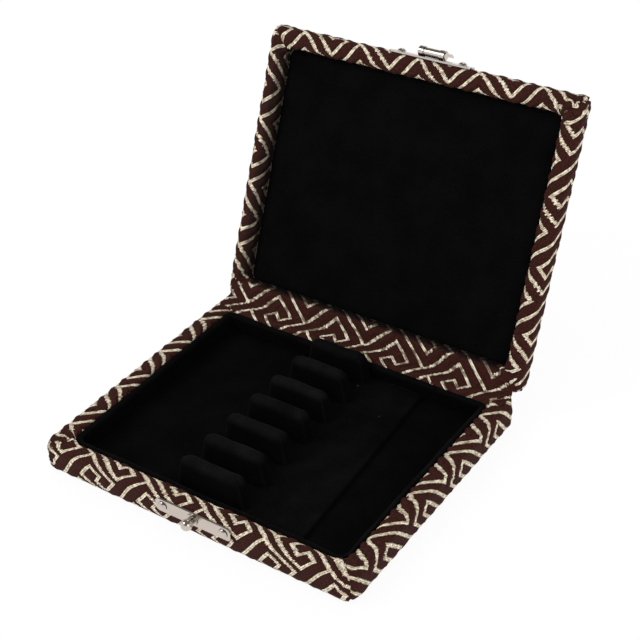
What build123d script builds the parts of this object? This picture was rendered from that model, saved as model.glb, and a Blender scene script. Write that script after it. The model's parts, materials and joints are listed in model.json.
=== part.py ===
from build123d import *
import os
from math import cos, radians, sin

os.makedirs("parts", exist_ok=True)

# Driving dimensions of the whole case, in millimetres. The frame has its origin at the middle of the
# underside of the base, +X to the right, +Y to the hinge and +Z up.
case_width = 100.0
case_depth = 82.0
base_height = 9.2
lid_height = 6.0
rim_width = 5.8
corner_radius = 4.0
opening_corner_radius = 1.5
base_floor_radius = 3.0
base_rim_radius = 1.7
lid_top_radius = 1.8
lid_rim_radius = 1.6
rim_inner_radius = 1.5
open_angle = 113.6

# Cloth, boards and lining
cloth = 0.6
board = 1.5
lining_thickness = 0.9
lining_drop = 0.7
lining_edge_radius = 0.4
floor_velvet = 0.5
lid_panel_thickness = 0.7
lid_panel_clearance = 0.2
hinge_cloth = 0.35
hinge_cloth_end_inset = 5.0
hinge_cloth_tuck_inset = 9.6
hinge_cloth_clearance = 0.02
half_gap = 0.5

# Reed bed and fins
fin_pitch = 10.0
fin_thickness = 4.4
fin_top_height = 12.7
fin_left = -11.0
fin_right = 7.4
fin_left_flare = 1.8
fin_right_flare = 1.2
fin_side_flare = 0.25
fin_end_radius = 2.6
fin_crest_radius = 1.6
fin_rear_clearance = 0.05
bed_right = 26.0
bed_height = 1.4
bed_edge_radius = 0.6
bed_side_clearance = 0.1

# Latch on the front walls
latch_x = 2.3
plate_thickness = 0.5
plate_height = 4.0
plate_corner_radius = 1.3
base_plate_length = 24.0
lid_plate_length = 26.0
base_plate_drop = 2.3
lid_plate_rise = 2.7
base_nail_inset = 2.3
lid_nail_inset = 3.3
nail_shank_radius = 0.45
nail_shank_length = 4.0
nail_head_radius = 1.1
nail_head_height = 0.6
nail_clearance = 0.03
ball_radius = 1.6
ball_standoff = 2.3
stud_neck_radius = 0.75
stud_collar_radius = 1.65
stud_collar_height = 0.4
stud_shank_length = 3.0
barrel_outer_radius = 1.45
barrel_length = 8.0
knuckle_length = 1.5
knuckle_gap = 0.12
knuckle_seat = 0.1
pin_radius = 0.8
pin_clearance = 0.04
pin_overhang = 0.25
pin_head_radius = 1.05
pin_head_height = 0.3
hasp_barrel_radius = 1.25
hasp_thickness = 0.5
hasp_neck_width = 4.4
hasp_disc_radius = 2.75
hasp_socket_clearance = 0.12
hasp_lip_length = 1.6
hasp_lip_rise = 0.7
hasp_lip_width = 3.0

# One overrun serves every cut
overrun = 1.0

# Worked-out levels and places
opening_width = case_width - 2 * rim_width
opening_depth = case_depth - 2 * rim_width
floor_top = cloth + board
base_floor_level = floor_top + floor_velvet
bed_top = base_floor_level + bed_height
pivot_y = case_depth / 2
pivot_z = base_height + half_gap
lid_rim_z = base_height + 2 * half_gap
closed_height = lid_rim_z + lid_height
front_y = -case_depth / 2
base_plate_z = base_height - base_plate_drop
plate_face_y = front_y - plate_thickness
lid_plate_z = lid_rim_z + lid_plate_rise
barrel_y = plate_face_y - barrel_outer_radius + knuckle_seat
hasp_length = lid_plate_z - base_plate_z
lining_inner_depth = opening_depth - 2 * lining_thickness
fin_foot = fin_thickness + 2 * fin_side_flare
fin_room = lining_inner_depth - fin_foot - fin_rear_clearance
fin_count = 1 + int(fin_room / fin_pitch)
rear_fin_y = lining_inner_depth / 2 - fin_rear_clearance - fin_foot / 2
fin_places = [rear_fin_y - fin_pitch * i for i in range(fin_count)]
nail_hole = nail_shank_radius + nail_clearance
nail_depth = nail_shank_length - plate_thickness + nail_clearance
stud_hole = stud_neck_radius + nail_clearance
open_lid = (Pos(0, pivot_y, pivot_z) * Rot(-open_angle, 0, 0) * Pos(0, -pivot_y, -pivot_z))
barrel_line = Pos(latch_x, barrel_y, lid_plate_z)
flip_hasp = barrel_line * Rot(-180, 0, 0) * barrel_line.inverse()


def rounded_block(inset, low, high, low_radius, high_radius):
    """The case outline drawn in by inset, between two heights, with rounded lower and upper edges."""
    outline = RectangleRounded(case_width - 2 * inset, case_depth - 2 * inset, corner_radius - inset)
    solid = Pos(0, 0, low) * extrude(outline, amount=high - low)
    solid = fillet(solid.edges().group_by(Axis.Z)[-1], high_radius)
    return fillet(solid.edges().group_by(Axis.Z)[0], low_radius)


def opening(grow, low, high):
    """The rounded rectangular space inside the walls, grown by a thickness."""
    outline = RectangleRounded(opening_width + 2 * grow, opening_depth + 2 * grow, opening_corner_radius + grow)
    return Pos(0, 0, low) * extrude(outline, amount=high - low)


def open_tray(inset, height, face_radius, rim_radius):
    """A shallow tray with its outer face down: walls, floor, and a rim rounded inside and outside."""
    block = rounded_block(inset, inset, height - inset, face_radius - inset, rim_radius - inset)
    block -= opening(inset, floor_top, height + overrun)
    rim_edges = block.faces().sort_by(Axis.Z)[-1].inner_wires()[0].edges()
    return fillet(rim_edges, rim_inner_radius - inset)


def mitre_region(side, height):
    """A prism that holds one wall of a tray up to the mitres in its corners."""
    out = overrun
    reach = rim_width + opening_corner_radius
    half_w = case_width / 2
    half_d = case_depth / 2
    if side in ("front", "rear"):
        turn = -1 if side == "front" else 1
        points = [
            (-half_w - out, turn * (half_d + out)),
            (half_w + out, turn * (half_d + out)),
            (half_w - reach, turn * (half_d - reach)),
            (-half_w + reach, turn * (half_d - reach)),
        ]
    else:
        turn = -1 if side == "left" else 1
        points = [
            (turn * (half_w + out), -half_d - out),
            (turn * (half_w + out), half_d + out),
            (turn * (half_w - reach), half_d - reach),
            (turn * (half_w - reach), -half_d + reach),
        ]
    face = make_face(Polyline(*points, close=True))
    prism = extrude(face, amount=height + 2 * overrun, dir=(0, 0, 1))
    return Pos(0, 0, -overrun) * prism


def slab(low, high):
    """A block wider than the case between two heights."""
    size_x = case_width + 2 * overrun
    size_y = case_depth + 2 * overrun
    return Pos(0, 0, (low + high) / 2) * Box(size_x, size_y, high - low)


def tray_pieces(height, face_radius, rim_radius):
    """The board, the four mitred walls and the two pieces of covering cloth of one tray."""
    whole = open_tray(0, height, face_radius, rim_radius)
    core = open_tray(cloth, height, face_radius, rim_radius)
    pieces = {"board": core & slab(0, floor_top)}
    frame = core & slab(floor_top, height)
    for side in ("front", "rear", "left", "right"):
        pieces["wall_" + side] = frame & mitre_region(side, height)
    skin = whole - core
    seam_w = case_width - 2 * corner_radius
    seam_d = case_depth - 2 * corner_radius
    panel = Pos(0, 0, cloth / 2) * Box(seam_w, seam_d, cloth)
    pieces["cover_panel"] = skin & panel
    pieces["cover_sides"] = skin - panel
    return pieces


def turned_over(shape):
    """A tray built with its outer face down, mirrored into its place as the closed lid."""
    return mirror(shape, Plane(origin=(0, 0, closed_height / 2), z_dir=(0, 0, 1)))


def wall_lining():
    """The velvet-covered strip that is bent round the inside of the base walls."""
    top = base_height - lining_drop
    strip = opening(0, floor_top, top) - opening(-lining_thickness, floor_top - overrun, top + overrun)
    return fillet(strip.edges().group_by(Axis.Z)[-1], lining_edge_radius)


def floor_sheet():
    """The velvet sheet on the base board, inside the lining strip."""
    return opening(-lining_thickness, floor_top, base_floor_level)


def reed_bed():
    """The low velvet-covered block that carries the fins and the reeds' blades."""
    left = fin_left - fin_left_flare
    depth = lining_inner_depth - 2 * bed_side_clearance
    block = Pos((left + bed_right) / 2, 0, base_floor_level + bed_height / 2) * Box(bed_right - left, depth, bed_height)
    top_edges = block.edges().group_by(Axis.Z)[-1].filter_by(Axis.Y)
    return fillet(top_edges, bed_edge_radius)


def fin(place_y):
    """A padded fin with a rounded crest, rounded ends and sides that flare towards the bed."""
    height = fin_top_height - bed_top
    foot_left = fin_left - fin_left_flare
    foot_right = fin_right + fin_right_flare
    foot = Pos((foot_left + foot_right) / 2, place_y, bed_top)
    crest = Pos((fin_left + fin_right) / 2, place_y, fin_top_height)
    foot_face = foot * Rectangle(foot_right - foot_left, fin_foot)
    crest_face = crest * Rectangle(fin_right - fin_left, fin_thickness)
    body = loft([foot_face, crest_face])
    end_edges = body.edges().group_by(Axis.Z)[-1].filter_by(Axis.Y)
    body = fillet(end_edges, min(fin_end_radius, height / 2))
    top = body.faces().sort_by(Axis.Z)[-1]
    crest_edges = top.edges().filter_by(Axis.X)
    return fillet(crest_edges, fin_crest_radius)


def lid_panel():
    """The velvet-covered card on the inside of the closed lid's board."""
    level = closed_height - floor_top - lid_panel_thickness
    return opening(-lid_panel_clearance, level, closed_height - floor_top)


def hinge_strip():
    """Half of the cloth that covers the hinge crease, lying on the rear rim of the base."""
    inner_y = opening_depth / 2
    gap = hinge_cloth_clearance
    inner = rim_inner_radius + gap
    outer = inner + hinge_cloth
    centre_y = inner_y + rim_inner_radius
    centre_z = base_height - rim_inner_radius
    lines = [
        Line((centre_y - outer, centre_z), (centre_y - inner, centre_z)),
        RadiusArc((centre_y - inner, centre_z), (centre_y, centre_z + inner), inner),
        Line((centre_y, centre_z + inner), (centre_y, centre_z + outer)),
        RadiusArc((centre_y, centre_z + outer), (centre_y - outer, centre_z), -outer),
    ]
    tuck_length = case_width - 2 * hinge_cloth_tuck_inset
    tuck = Pos(-tuck_length / 2, 0, 0) * extrude(Plane.YZ * make_face(Curve() + lines), amount=tuck_length)
    tuck -= slab(0, base_height - lining_drop + gap)
    flat_length = case_width - 2 * hinge_cloth_end_inset
    flat_y = (centre_y + pivot_y) / 2
    flat = Pos(0, flat_y, centre_z + (inner + outer) / 2) * Box(flat_length, pivot_y - centre_y, hinge_cloth)
    return tuck + flat


def latch_plate(length, level, nail_inset):
    """A flat plate with rounded corners on the front wall, with a nail hole in from each end."""
    plane = Plane(origin=(latch_x, front_y, level), x_dir=(1, 0, 0), z_dir=(0, -1, 0))
    outline = RectangleRounded(length, plate_height, plate_corner_radius)
    for side in (-1, 1):
        outline -= Pos(side * (length / 2 - nail_inset), 0) * Circle(nail_hole)
    return extrude(plane * outline, amount=plate_thickness)


def front_rod(x, level, start_y, end_y, radius):
    """A round rod along Y on the front wall."""
    plane = Plane(origin=(x, start_y, level), x_dir=(1, 0, 0), z_dir=(0, -1, 0))
    return extrude(plane * Circle(radius), amount=start_y - end_y)


def nail(x, level):
    """A round-headed nail driven through a latch plate into the front wall."""
    root_y = plate_face_y + nail_shank_length
    shank = front_rod(x, level, root_y, plate_face_y, nail_shank_radius)
    dome_radius = (nail_head_radius ** 2 + nail_head_height ** 2) / (2 * nail_head_height)
    dome = Pos(x, plate_face_y + dome_radius - nail_head_height, level) * Sphere(dome_radius)
    reach = 2 * dome_radius
    cap_box = Pos(x, plate_face_y - reach / 2, level) * Box(reach, reach, reach)
    return shank + (dome & cap_box)


def nail_pair(length, level, nail_inset):
    """The two nails of one latch plate."""
    return [nail(latch_x + side * (length / 2 - nail_inset), level) for side in (-1, 1)]


def nail_holes(length, nail_inset):
    """The places, radii and depths of the holes for the two nails of one latch plate."""
    return [(latch_x + side * (length / 2 - nail_inset), nail_hole, nail_depth) for side in (-1, 1)]


def drilled(wall, level, holes):
    """A front wall or its cloth with the holes of what is driven into it."""
    for x, radius, depth in holes:
        wall -= front_rod(x, level, front_y + depth, front_y - overrun, radius)
    return wall


def ball_stud():
    """The ball that the hasp snaps over, on a collar, with a shank through the plate into the wall."""
    shank_root = front_y + stud_shank_length
    shank = front_rod(latch_x, base_plate_z, shank_root, plate_face_y, stud_neck_radius)
    collar = front_rod(latch_x, base_plate_z, plate_face_y, plate_face_y - stud_collar_height, stud_collar_radius)
    ball_y = plate_face_y - ball_standoff
    neck = front_rod(latch_x, base_plate_z, plate_face_y, ball_y, stud_neck_radius)
    ball = Pos(latch_x, ball_y, base_plate_z) * Sphere(ball_radius)
    return shank + collar + neck + ball


def barrel_tube(start_x, length, outer_radius, bore_radius):
    """A piece of hinge barrel along X on the latch's pivot line."""
    plane = Plane(origin=(start_x, barrel_y, lid_plate_z), x_dir=(0, 1, 0), z_dir=(1, 0, 0))
    ring = Circle(outer_radius)
    if bore_radius > 0:
        ring -= Circle(bore_radius)
    return extrude(plane * ring, amount=length)


def catch_plate():
    """The lid's plate with two knuckles curled up from it for the hasp's pin."""
    plate = latch_plate(lid_plate_length, lid_plate_z, lid_nail_inset)
    bore = pin_radius + pin_clearance
    left = latch_x - barrel_length / 2
    right = latch_x + barrel_length / 2 - knuckle_length
    for start in (left, right):
        plate += barrel_tube(start, knuckle_length, barrel_outer_radius, bore)
    return plate


def catch_pin():
    """The pin through the three knuckles, with a low head on each end."""
    half = barrel_length / 2 + pin_overhang
    pin = barrel_tube(latch_x - half, 2 * half, pin_radius, 0)
    for side in (-1, 1):
        start = latch_x + side * (barrel_length / 2 + pin_head_height / 2) - pin_head_height / 2
        pin += barrel_tube(start, pin_head_height, pin_head_radius, 0)
    return pin


def hasp():
    """The swinging hasp in its latched place: a knuckle, a strap, a disc with the ball's socket and a lip."""
    knuckle = barrel_length - 2 * (knuckle_length + knuckle_gap)
    bore = pin_radius + pin_clearance
    start = latch_x - knuckle / 2
    back_y = barrel_y + hasp_thickness / 2
    plane = Plane(origin=(latch_x, back_y, base_plate_z), x_dir=(1, 0, 0), z_dir=(0, -1, 0))
    strap = Pos(0, hasp_length / 2) * Rectangle(hasp_neck_width, hasp_length)
    sheet = extrude(plane * (strap + Circle(hasp_disc_radius)), amount=hasp_thickness)
    body = sheet + barrel_tube(start, knuckle, hasp_barrel_radius, 0)
    body -= barrel_tube(start - overrun, knuckle + 2 * overrun, bore, 0)
    socket = ball_radius + hasp_socket_clearance
    body -= front_rod(latch_x, base_plate_z, back_y + overrun, back_y - hasp_thickness - overrun, socket)
    lip_top = base_plate_z - hasp_disc_radius + hasp_thickness
    face_y = back_y - hasp_thickness
    lip_points = [
        (back_y, lip_top),
        (back_y - hasp_lip_rise, lip_top - hasp_lip_length),
        (face_y - hasp_lip_rise, lip_top - hasp_lip_length),
        (face_y, lip_top),
    ]
    lip = extrude(Plane.YZ * make_face(Polyline(*lip_points, close=True)), amount=hasp_lip_width)
    body += Pos(latch_x - hasp_lip_width / 2, 0, 0) * lip
    return body


def save(node, shape):
    """Writes one node, as one solid or as a group of separate solids."""
    solids = shape if isinstance(shape, list) else list(shape.solids())
    export_step(solids[0] if len(solids) == 1 else Compound(children=solids), f"parts/{node}.step")
    box = Compound(children=[s.moved(Location()) for s in solids]).bounding_box()
    low = [round(v, 2) for v in box.min]
    high = [round(v, 2) for v in box.max]
    print(node, len(solids), low, high)


# Base tray
base_holes = nail_holes(base_plate_length, base_nail_inset)
base_holes.append((latch_x, stud_hole, stud_shank_length + nail_clearance))
base = tray_pieces(base_height, base_floor_radius, base_rim_radius)
for name in ("wall_front", "cover_sides"):
    base[name] = drilled(base[name], base_plate_z, base_holes)
for name, shape in base.items():
    save("base_" + name, shape)
save("base_wall_lining", wall_lining())
save("base_floor_velvet", floor_sheet())
save("reed_bed", reed_bed())
for number, place in enumerate(reversed(fin_places), start=1):
    save(f"fin_{number}", fin(place))
hinge_half = hinge_strip()
save("hinge_cloth_base_half", hinge_half)

# Latch half on the base
base_plate = latch_plate(base_plate_length, base_plate_z, base_nail_inset)
base_plate -= front_rod(latch_x, base_plate_z, front_y + overrun, plate_face_y - overrun, stud_hole)
save("latch_base_plate", base_plate)
save("latch_ball_stud", ball_stud())
save("latch_base_nails", nail_pair(base_plate_length, base_plate_z, base_nail_inset))

# Lid tray, built closed and swung open about the hinge line
lid = {name: turned_over(shape) for name, shape in tray_pieces(lid_height, lid_top_radius, lid_rim_radius).items()}
lid_holes = nail_holes(lid_plate_length, lid_nail_inset)
for name in ("wall_front", "cover_sides"):
    lid[name] = drilled(lid[name], lid_plate_z, lid_holes)
for name, shape in lid.items():
    save("lid_" + name, open_lid * shape)
save("lid_velvet_panel", open_lid * lid_panel())
lid_hinge_half = mirror(hinge_half, Plane(origin=(0, 0, pivot_z), z_dir=(0, 0, 1)))
save("hinge_cloth_lid_half", open_lid * lid_hinge_half)

# Latch half on the lid, with the hasp flipped up off its ball
save("catch_plate", open_lid * catch_plate())
save("catch_pin", open_lid * catch_pin())
lid_nails = nail_pair(lid_plate_length, lid_plate_z, lid_nail_inset)
save("catch_nails", [open_lid * piece for piece in lid_nails])
save("hasp", open_lid * flip_hasp * hasp())

# Joint lines for the record
swing = radians(open_angle)
rise_y = barrel_y - pivot_y
rise_z = lid_plate_z - pivot_z
open_barrel_y = pivot_y + rise_y * cos(swing) + rise_z * sin(swing)
open_barrel_z = pivot_z - rise_y * sin(swing) + rise_z * cos(swing)
print("lid hinge line", 0, pivot_y, pivot_z)
print("hasp hinge line", latch_x, round(open_barrel_y, 4), round(open_barrel_z, 4))
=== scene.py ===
import json
import math

import bpy
import numpy as np
from mathutils import Matrix, Vector, geometry


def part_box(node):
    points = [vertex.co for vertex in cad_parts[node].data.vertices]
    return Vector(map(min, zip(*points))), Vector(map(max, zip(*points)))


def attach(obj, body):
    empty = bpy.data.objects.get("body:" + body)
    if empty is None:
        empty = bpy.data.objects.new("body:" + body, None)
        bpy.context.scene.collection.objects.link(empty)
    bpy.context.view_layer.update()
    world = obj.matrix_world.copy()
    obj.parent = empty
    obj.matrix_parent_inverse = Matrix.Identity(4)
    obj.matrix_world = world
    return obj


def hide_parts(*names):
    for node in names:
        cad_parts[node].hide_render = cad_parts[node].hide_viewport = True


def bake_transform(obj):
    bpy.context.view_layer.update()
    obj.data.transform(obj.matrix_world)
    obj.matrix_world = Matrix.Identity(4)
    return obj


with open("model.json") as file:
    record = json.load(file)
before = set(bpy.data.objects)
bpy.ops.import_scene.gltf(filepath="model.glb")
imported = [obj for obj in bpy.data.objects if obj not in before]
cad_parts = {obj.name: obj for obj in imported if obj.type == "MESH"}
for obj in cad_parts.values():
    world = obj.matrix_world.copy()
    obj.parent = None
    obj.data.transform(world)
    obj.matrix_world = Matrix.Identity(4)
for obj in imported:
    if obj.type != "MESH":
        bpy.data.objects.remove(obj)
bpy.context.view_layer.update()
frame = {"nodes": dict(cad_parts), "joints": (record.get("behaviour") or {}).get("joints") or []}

# Sizes of the case, in metres, read from the frame
MM = 0.001
case_low, case_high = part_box("base_cover_sides")
lining_low, lining_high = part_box("base_wall_lining")
case_width = case_high.x - case_low.x
case_depth = case_high.y - case_low.y
base_height = case_high.z
opening_width = lining_high.x - lining_low.x
opening_depth = lining_high.y - lining_low.y
rim_width = (case_width - opening_width) / 2
hinge = next(joint for joint in frame["joints"] if joint["name"] == "lid_hinge")
hinge_point = np.array(Vector(hinge["pos_m"]))
open_angle = math.radians(hinge["range_deg"][1])

# Sizes of the case that the frame doesn't give
half_gap = hinge_point[2] - base_height
lid_height = 6.0 * MM
lid_rim = base_height + 2 * half_gap
closed_height = lid_rim + lid_height
opening_corner_radius = 2.2 * MM
base_corners = {"front": (4.3 * MM, 3.6 * MM), "rear": (3.6 * MM, opening_corner_radius)}
lid_corners = {"front": (3.0 * MM, opening_corner_radius), "rear": (2.8 * MM, opening_corner_radius)}
fin_count = 7
fin_skew = 0.038
fin_stretch = 0.4 * MM
fin_puff = 0.35 * MM
bed_skew = 0.068
base_face_radius = 3.0 * MM
base_rim_radius = 1.7 * MM
lid_face_radius = 1.8 * MM
lid_rim_radius = 1.6 * MM
rim_inner_radius = 1.5 * MM
lining_thickness = 0.9 * MM

# A length or share that counts as nothing
tiny = 1e-9

# How finely the brocade is meshed, its relief, and the largest size that a cell of the fret can have
cloth_spacing = 0.32 * MM
panel_spacing = 0.6 * MM
ground_puff = 0.37 * MM
puff_reach = 0.85 * MM
gold_band = 0.12 * MM
band_roundness = 0.6
line_half_width = 0.59 * MM
pressed_relief = 0.3
rim_pucker = 0.5
threads_per_cell = 8
largest_cell = 10 * MM

# The cloth at the mitres: the furrow, the pleat beside it, and the crumpled zone
mitre_fade = 0.6 * MM
mitre_dip = 0.3 * MM
mitre_ease = 2.0 * MM
pleat_lift = 0.3 * MM
pleat_width = 3.2 * MM
crumple_width = 5.0 * MM
crumple_cells = 0.3
crumple_rise = 0.11 * MM
crumple_waves = (3.4 * MM, 3.0 * MM, 1.5 * MM)
usual_crumple = 0.25

# Lengths that set the mesh columns round half a corner and along a side, and the least corner radius
corner_arc = 3.5 * MM
corner_allowance = 4 * MM
smallest_turn = 0.4 * MM

# The painted shade on the cloth inside the opening: where it starts and how soon it is full, and where
# the painted shade on the lid's left rim starts
sunk_shade_start = 0.7 * MM
sunk_shade_length = 1.0 * MM
rim_shade_start = 0.25

# How fast each side's pattern gives way to the others on a tray's outer face
blend_reach = 0.5
blend_power = 3


def smooth(share):
    """A soft step from 0 to 1."""
    t = np.clip(share, 0, 1)
    return t * t * (3 - 2 * t)


def bell(offset, width):
    """A bell curve, 1 where the offset is 0."""
    return np.exp(-((offset / width) ** 2))


def wobble(points, length, seed):
    """Smooth unevenness between about -1 and 1 whose waves are roughly one length apart."""
    layers = 6
    random = np.random.default_rng(seed)
    total = np.zeros(points.shape[:-1])
    for _ in range(layers):
        direction = random.normal(size=points.shape[-1])
        direction *= 2 * math.pi * random.uniform(0.6, 1.4) / (length * np.linalg.norm(direction))
        total += np.sin(points @ direction + random.uniform(0, 2 * math.pi))
    return total / math.sqrt(layers)


# The fret pattern on a lattice with coordinates p and q, in bands of this many cells. Each line of the
# folded cell says along which coordinate it runs, its place on the other one, and its start and end.
band_cells = 4
FRET_LINES = (
    ("q", 4, -2, 2), ("q", 0, -2, 0), ("q", 0, 1, 2), ("q", 3, 1, 2), ("q", 3, -2, 0),
    ("q", 1, -2, -1), ("q", 2, -2, -1), ("p", 0, 0, 3), ("p", 1, 0, 3), ("p", -1, 1, 2),
    ("p", 2, 1, 2), ("p", -2, 2, 3),
)

# How the cloth is pulled askew: by how many cells, and the lengths in millimetres and seeds of the
# waves along p and q
CLOTH_DRIFTS = ((0.06, ((31, 5), (27, 6))), (0.03, ((9, 7), (8, 8))))


def fret_distance(p, q, cell_p, cell_q):
    """The distance in metres from a point of the lattice to the middle of the nearest gold line, for
    cells of the given sizes across p and across q."""
    band = np.floor((q + band_cells / 2) / band_cells)
    y = q - band_cells * band
    x = np.abs((p - band_cells * band + band_cells) % (2 * band_cells) - band_cells)
    nearest = np.full(p.shape, 1.0)
    for along, place, start, end in FRET_LINES:
        across, run, wide, long = (x, y, cell_p, cell_q) if along == "q" else (y, x, cell_q, cell_p)
        beyond = np.maximum(start - run, run - end) * long
        nearest = np.minimum(nearest, np.maximum(np.abs(across - place) * wide, beyond))
    return nearest


def cloth_relief(p, q, cells):
    """How far the brocade stands out: puffed ground, a low band of gold, and a furrow beside it."""
    gap = fret_distance(p, q, *cells) - line_half_width
    puff = ground_puff * (1 - np.exp(-((np.maximum(gap, 0) / puff_reach) ** 2)))
    band = gold_band * np.clip(-gap / line_half_width, 0, 1) ** band_roundness
    return puff + band - ground_puff / 2


class Weave:
    """Where the fret pattern lies on one piece of cloth: a place and the steps of one cell along p and
    q, in millimetres, and the place's lattice point."""

    def __init__(self, place, step_p, step_q, lattice=(0, 0)):
        self.place = np.array(place) * MM
        self.lattice = np.array(lattice, float)
        steps = np.array([step_p, step_q]).T * MM
        self.inverse = np.linalg.inv(steps)
        self.cells = abs(np.linalg.det(steps)) / np.linalg.norm(steps, axis=0)[::-1]

    def __call__(self, u, v):
        flat = np.stack([u - self.place[0], v - self.place[1]], -1)
        drift = sum(
            amount * np.stack([wobble(flat, length * MM, seed) for length, seed in waves], -1)
            for amount, waves in CLOTH_DRIFTS)
        pq = flat @ self.inverse.T + self.lattice + drift
        return pq[..., 0], pq[..., 1]


# The four sides in the order of a walk round the case: directions along and outward, and the pair of
# corners that each side's start and end belong to
SIDES = {
    "front": ((1, 0), (0, -1), "front", "front"),
    "right": ((0, 1), (1, 0), "front", "rear"),
    "rear": ((-1, 0), (0, 1), "rear", "rear"),
    "left": ((0, -1), (-1, 0), "rear", "front"),
}


def half_sizes(side):
    """Half the case's length along a side, and half its size across that side."""
    halves = (case_width / 2, case_depth / 2)
    return halves if side in ("front", "rear") else halves[::-1]


def side_row(side, inset, radii, spacing):
    """One row of points along one side of the rounded outline, from mitre to mitre: places, outward
    directions, run along the side, and distance to the nearer mitre."""
    half_along, half_out = half_sizes(side)
    arc_count = round(corner_arc / spacing)
    line_count = round(2 * (half_along - corner_allowance) / spacing)
    start, end = (half_along - inset - radius for radius in radii)
    turn = np.linspace(math.pi / 4, 0, arc_count, endpoint=False)
    line = np.linspace(-start, end, line_count + 1)
    tilt = np.concatenate([-turn, 0 * line, turn[::-1]])
    straight = np.concatenate([0 * turn - start, line, 0 * turn + end])
    radius = np.concatenate([0 * turn + radii[0], 0 * line, 0 * turn + radii[1]])
    run = straight + radius * tilt
    along = straight + radius * np.sin(tilt)
    out = half_out - inset - radius + radius * np.cos(tilt)
    a, b = (np.array(d, float) for d in SIDES[side][:2])
    place = along[:, None] * a + out[:, None] * b
    outward = np.sin(tilt)[:, None] * a + np.cos(tilt)[:, None] * b
    return place, outward, run, np.minimum(run - run.min(), run.max() - run)


def side_share(grid, sign):
    """How far points belong to the case's left side (sign -1) or right side (sign 1)."""
    inset_x = case_width / 2 - sign * grid[..., 0]
    inset_y = case_depth / 2 - np.abs(grid[..., 1])
    return smooth((inset_y - inset_x) / mitre_ease)


def rounded(centre, radius, start, end, spacing):
    """Points and normals of an arc of a profile, from one angle to another, in degrees."""
    count = max(3, round(abs(math.radians(end - start)) * radius / spacing))
    angles = np.radians(np.linspace(start, end, count + 1))
    normal = np.stack([np.cos(angles), np.sin(angles)], -1)
    return centre + radius * normal, normal


def straight_run(start, end, normal, spacing):
    """Points strictly between two points of a profile, with one normal."""
    count = max(1, round(math.dist(start, end) / spacing))
    share = np.linspace(0, 1, count + 1)[1:-1, None]
    points = start + share * np.subtract(end, start)
    return points, np.tile(np.array(normal, float), (len(points), 1))


def single(point, normal):
    """One point of a profile with its normal."""
    return np.array([point]), np.array([normal], float)


def joined(parts):
    """All points and all normals of a profile's parts."""
    return [np.concatenate([part[i] for part in parts]) for i in (0, 1)]


def tray_profile(height, face_radius, rim_radius, inner_depth, spacing):
    """A tray wall from its outer face over the rim and down inside. Each row has an inset and a height,
    the normal's inward and upward parts, how far it has gone from outer to inner, and the run v, which
    counts the roundings as if they were square."""
    inner_start = rim_width - rim_inner_radius
    low = rounded((face_radius, face_radius), face_radius, 270, 180, spacing)
    rim = rounded((rim_radius, height - rim_radius), rim_radius, 180, 90, spacing)
    inner = rounded((inner_start, height - rim_inner_radius), rim_inner_radius, 90, 0, spacing)
    wall = straight_run(low[0][-1], rim[0][0], (-1, 0), spacing)
    top = straight_run(rim[0][-1], inner[0][0], (0, 1), spacing)
    inner_end = (rim_width, height - inner_depth)
    inside = straight_run(inner[0][-1], inner_end, (1, 0), spacing)
    parts = [low, wall, rim, top, inner, inside, single(inner_end, (1, 0))]
    points, normals = joined(parts)
    inset, level = points[:, 0], points[:, 1]
    across_rim = np.clip((inset - rim_radius) / (inner_start - rim_radius), 0, 1)
    rim_foot = height - max(rim_radius, rim_inner_radius) - tiny
    inner_side = np.where(level > rim_foot, across_rim, inset > inner_start)
    steps = np.linalg.norm(np.diff(points, axis=0, prepend=points[:1]), axis=1)
    first = 0
    for part, radius in zip(parts, (face_radius, 0, rim_radius, 0, rim_inner_radius, 0, 0)):
        count = len(part[0])
        if radius:
            steps[first + 1:first + count] = 2 * radius / (count - 1)
        first += count
    return points, normals, inner_side, np.cumsum(steps) - face_radius


def corner_turns(places, inner_side, radii):
    """The outline's corner radius in each row of a profile, from the outer corner to the opening's."""
    outer = np.maximum(radii[0] - places[:, 0], smallest_turn)
    inner = radii[1] + rim_width - places[:, 0]
    return outer * (1 - inner_side) + inner * inner_side


def quads(grid):
    """The values of a grid at the four corners of each of its cells."""
    return np.stack([grid[:-1, :-1], grid[:-1, 1:], grid[1:, 1:], grid[1:, :-1]], 2)


def grid_faces(index, flip=False):
    """The same for a grid of point numbers, as a list of faces that can be turned over."""
    return quads(index)[..., ::-1 if flip else 1].reshape(-1, 4).tolist()


def cell_shares(cells):
    """The cloth's cell sizes at each point as amounts, which are shares of the largest cell."""
    return dict(zip(("cell_p", "cell_q"), np.transpose(cells) / largest_cell))


def add_object(name, data):
    """A new object in the scene."""
    made = bpy.data.objects.new(name, data)
    bpy.context.scene.collection.objects.link(made)
    return made


def make_object(name, points, faces, material, woven=None, **amounts):
    """A smooth mesh object. Woven cloth has its lattice places at the faces' corners, and the material
    may want amounts from 0 to 1 at the points."""
    mesh = bpy.data.meshes.new(name)
    mesh.from_pydata([tuple(p) for p in points], [], faces)
    if woven is not None:
        layer = mesh.uv_layers.new(name="weave")
        layer.uv.foreach_set("vector", np.asarray(woven, np.float32).ravel())
    for key, amount in amounts.items():
        layer = mesh.attributes.new(key, "FLOAT", "POINT")
        layer.data.foreach_set("value", np.clip(amount, 0, 1).astype(np.float32))
    mesh.polygons.foreach_set("use_smooth", [True] * len(mesh.polygons))
    mesh.materials.append(material)
    mesh.update()
    return add_object(name, mesh)


def pleat(side, to_mitre):
    """How far the cloth stands out beside a mitre: a furrow, and a fold that lies on the long sides."""
    furrow = -mitre_dip * (1 - smooth(to_mitre / mitre_fade))
    if side in ("left", "right"):
        return furrow
    fold = smooth(to_mitre / mitre_fade) * (1 - smooth(to_mitre / pleat_width))
    return furrow + pleat_lift * fold


def raised(flat, heights):
    """Flat places or directions as rows by columns, with a height for each row."""
    return np.concatenate([flat, np.broadcast_to(heights[:, None, None], flat.shape[:2] + (1,))], -1)


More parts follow.
